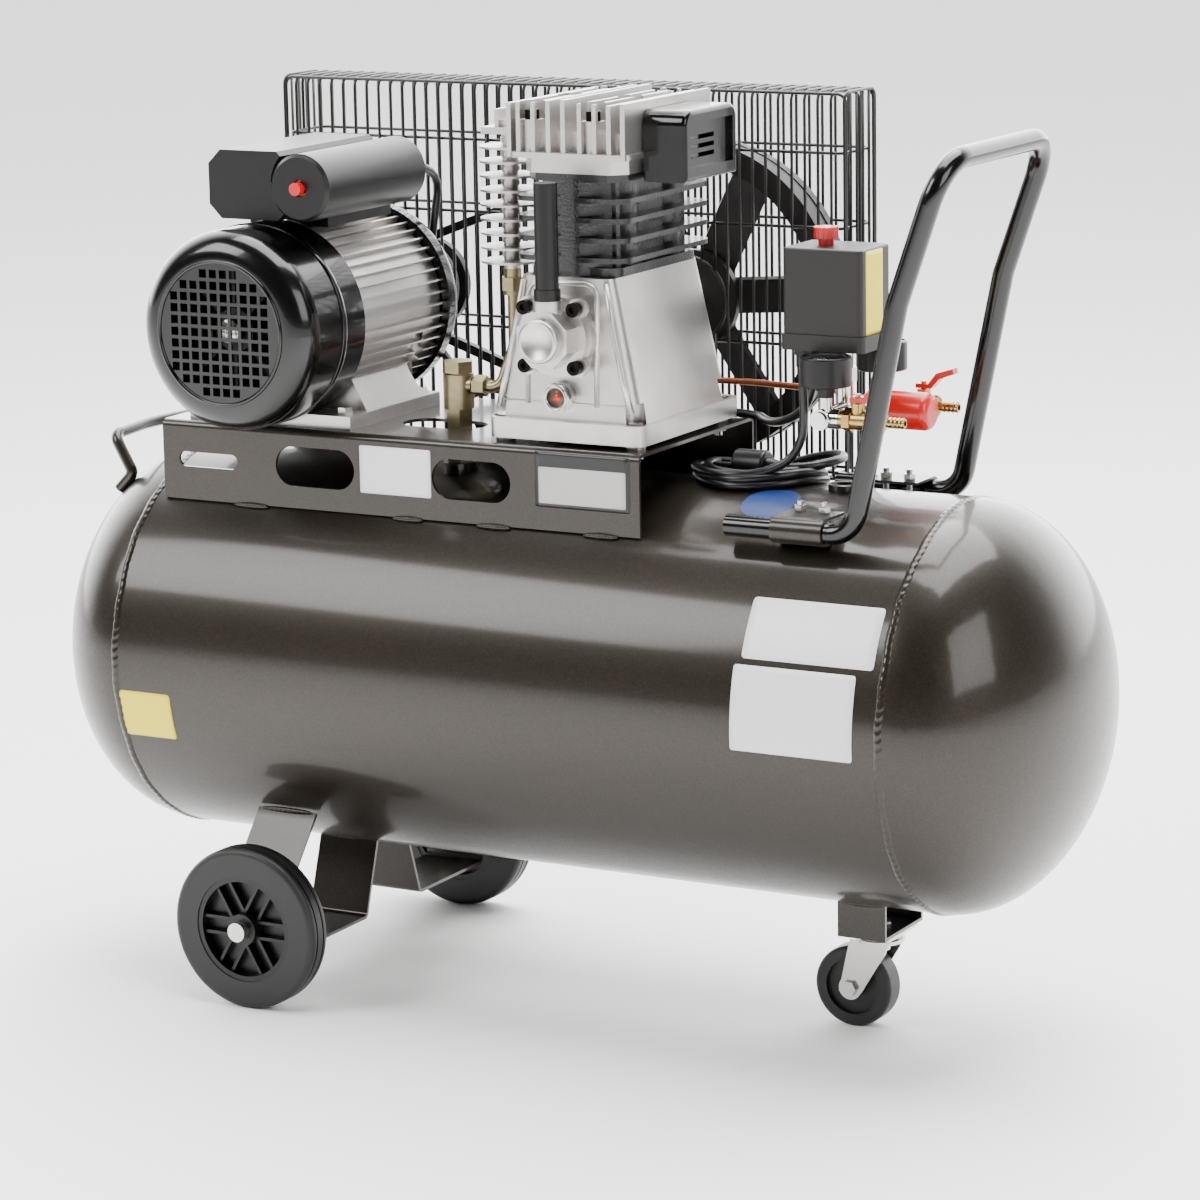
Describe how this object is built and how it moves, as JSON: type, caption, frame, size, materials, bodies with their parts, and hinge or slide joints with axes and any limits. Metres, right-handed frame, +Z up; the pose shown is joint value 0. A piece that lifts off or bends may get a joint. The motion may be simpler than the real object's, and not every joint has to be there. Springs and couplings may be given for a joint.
{
  "type": "air compressor",
  "caption": "Belt-driven piston air compressor on a horizontal wheeled tank, with wire belt guard, push handle, pressure switch, gauges and two hose outlets.",
  "frame": {"origin": "on the floor under the middle of the tank", "axes": "+X along the tank towards the push handle, -Y the motor fan side, +Z up"},
  "size_m": [1.03, 0.436, 0.836],
  "materials": {
    "tank_paint": "dark bronze metallic gloss enamel",
    "gloss_black": "gloss black powder coat",
    "black_plastic": "moulded black plastic",
    "switch_plastic": "fine-textured dark plastic",
    "red_plastic": "moulded red plastic",
    "cast_aluminium": "shot-blasted casting",
    "black_iron": "gloss black paint on rough casting",
    "dark_iron": "painted casting",
    "steel": "machined steel",
    "zinc": "bright zinc plate",
    "black_oxide": "black oxide screws",
    "chrome": "polished chrome plate",
    "brass": "machined brass",
    "copper": "drawn copper tube",
    "tyre_rubber": "moulded solid rubber",
    "belt_rubber": "wrapped V belt",
    "cord_pvc": "black PVC sheath",
    "red_lever": "red dipped steel",
    "guard_wire": "black coated wire",
    "winding": "varnished laminations and windings"
  },
  "bodies": {
    "tank": {"tank_barrel": "tank_paint", "tank_heads": "tank_paint", "top_plate": "tank_paint", "end_handle": "tank_paint", "wheel_brackets": "tank_paint", "caster_plate": "zinc", "push_handle": "gloss_black", "handle_clamps": "tank_paint", "frame_bolts": "zinc", "motor_frame": "cast_aluminium", "motor_shields": "gloss_black", "fan_cover": "gloss_black", "stator": "winding", "shaft_bearings": "steel", "capacitor_box": "black_plastic", "drive_belt": "belt_rubber", "crankcase": "cast_aluminium", "cylinder_block": "black_iron", "valve_plate": "cast_aluminium", "cylinder_head": "cast_aluminium", "pump_bolts": "black_oxide", "bearing_cover": "cast_aluminium", "sight_glass": "zinc", "breather_tube": "black_plastic", "air_filter": "black_plastic", "discharge_tube": "cast_aluminium", "delivery_pipe": "brass", "check_valve": "brass", "unloader_tube": "copper", "manifold": "chrome", "pressure_switch": "switch_plastic", "gauge_bodies": "black_plastic", "outlet_taps": "brass", "guard_front": "guard_wire", "guard_back": "guard_wire", "cable_glands": "black_plastic", "power_cord": "cord_pvc", "cord_coil": "cord_pvc", "mains_plug": "black_plastic", "motor_lead": "cord_pvc"},
    "front_wheel": {"tyre_front": "tyre_rubber", "hub_front": "black_plastic"},
    "rear_wheel": {"tyre_rear": "tyre_rubber", "hub_rear": "black_plastic"},
    "caster_swivel": {"caster_fork": "zinc"},
    "caster_roller": {"caster_wheel": "tyre_rubber"},
    "drain": {"drain_screw": "brass"},
    "motor_rotor": {"rotor": "steel", "motor_pulley": "dark_iron"},
    "crank": {"crankshaft": "steel", "flywheel": "dark_iron"},
    "front_piston": {"piston_front": "steel"},
    "rear_piston": {"piston_rear": "steel"},
    "reset": {"reset_button": "red_plastic"},
    "knob": {"switch_knob": "red_plastic"},
    "tank_needle": {"needle_tank": "black_oxide"},
    "outlet_needle": {"needle_outlet": "black_oxide"},
    "front_lever": {"tap_lever_front": "red_lever"},
    "rear_lever": {"tap_lever_rear": "red_lever"},
    "regulator": {"regulator_knob": "red_plastic"}
  },
  "joints": [
    {"name": "front_wheel_spin", "type": "hinge", "parent": "tank", "child": "front_wheel", "pos_m": [-0.245, -0.192, 0.076], "axis": [0, 1, 0], "continuous": true},
    {"name": "rear_wheel_spin", "type": "hinge", "parent": "tank", "child": "rear_wheel", "pos_m": [-0.245, 0.192, 0.076], "axis": [0, 1, 0], "continuous": true},
    {"name": "caster_turn", "type": "hinge", "parent": "tank", "child": "caster_swivel", "pos_m": [0.3065, 0, 0.086], "axis": [0, 0, 1], "continuous": true},
    {"name": "caster_spin", "type": "hinge", "parent": "caster_swivel", "child": "caster_roller", "pos_m": [0.284, 0, 0.0375], "axis": [0, 1, 0], "continuous": true},
    {"name": "drain_turn", "type": "hinge", "parent": "tank", "child": "drain", "pos_m": [-0.252, 0, 0.104], "axis": [0, 0, 1], "range_deg": [0, 360]},
    {"name": "crank_spin", "type": "hinge", "parent": "tank", "child": "crank", "pos_m": [0.038, 0.1825, 0.6285], "axis": [0, 1, 0], "continuous": true},
    {"name": "motor_spin", "type": "hinge", "parent": "tank", "child": "motor_rotor", "pos_m": [-0.268, 0.1825, 0.625], "axis": [0, 1, 0], "continuous": true},
    {"name": "front_piston_slide", "type": "slide", "parent": "tank", "child": "front_piston", "axis": [0, 0, 1], "range_m": [-0.046, 0]},
    {"name": "rear_piston_slide", "type": "slide", "parent": "tank", "child": "rear_piston", "axis": [0, 0, 1], "range_m": [0, 0.046]},
    {"name": "reset_press", "type": "slide", "parent": "tank", "child": "reset", "axis": [0, 1, 0], "range_m": [0, 0.003], "stiffness_N_per_m": 400},
    {"name": "knob_slide", "type": "slide", "parent": "tank", "child": "knob", "axis": [0, 0, 1], "range_m": [-0.005, 0]},
    {"name": "tank_needle_turn", "type": "hinge", "parent": "tank", "child": "tank_needle", "pos_m": [0.276, -0.042, 0.6139], "axis": [0, 0, -1], "range_deg": [0, 270]},
    {"name": "outlet_needle_turn", "type": "hinge", "parent": "tank", "child": "outlet_needle", "pos_m": [0.282, 0.06, 0.6139], "axis": [0, 0, -1], "range_deg": [0, 270]},
    {"name": "front_lever_turn", "type": "hinge", "parent": "tank", "child": "front_lever", "pos_m": [0.306, -0.04, 0.58], "axis": [0, 0, 1], "range_deg": [-90, 0]},
    {"name": "rear_lever_turn", "type": "hinge", "parent": "tank", "child": "rear_lever", "pos_m": [0.325, 0.056, 0.58], "axis": [0, 0, 1], "range_deg": [0, 90]},
    {"name": "regulator_turn", "type": "hinge", "parent": "tank", "child": "regulator", "pos_m": [0.323, 0.025, 0.562], "axis": [1, 0, 0], "range_deg": [0, 360]}
  ],
  "couplings": [
    {"joint": "motor_spin", "follows": "crank_spin", "ratio": 3.5122},
    {"joint": "rear_piston_slide", "follows": "front_piston_slide", "ratio": -1}
  ]
}
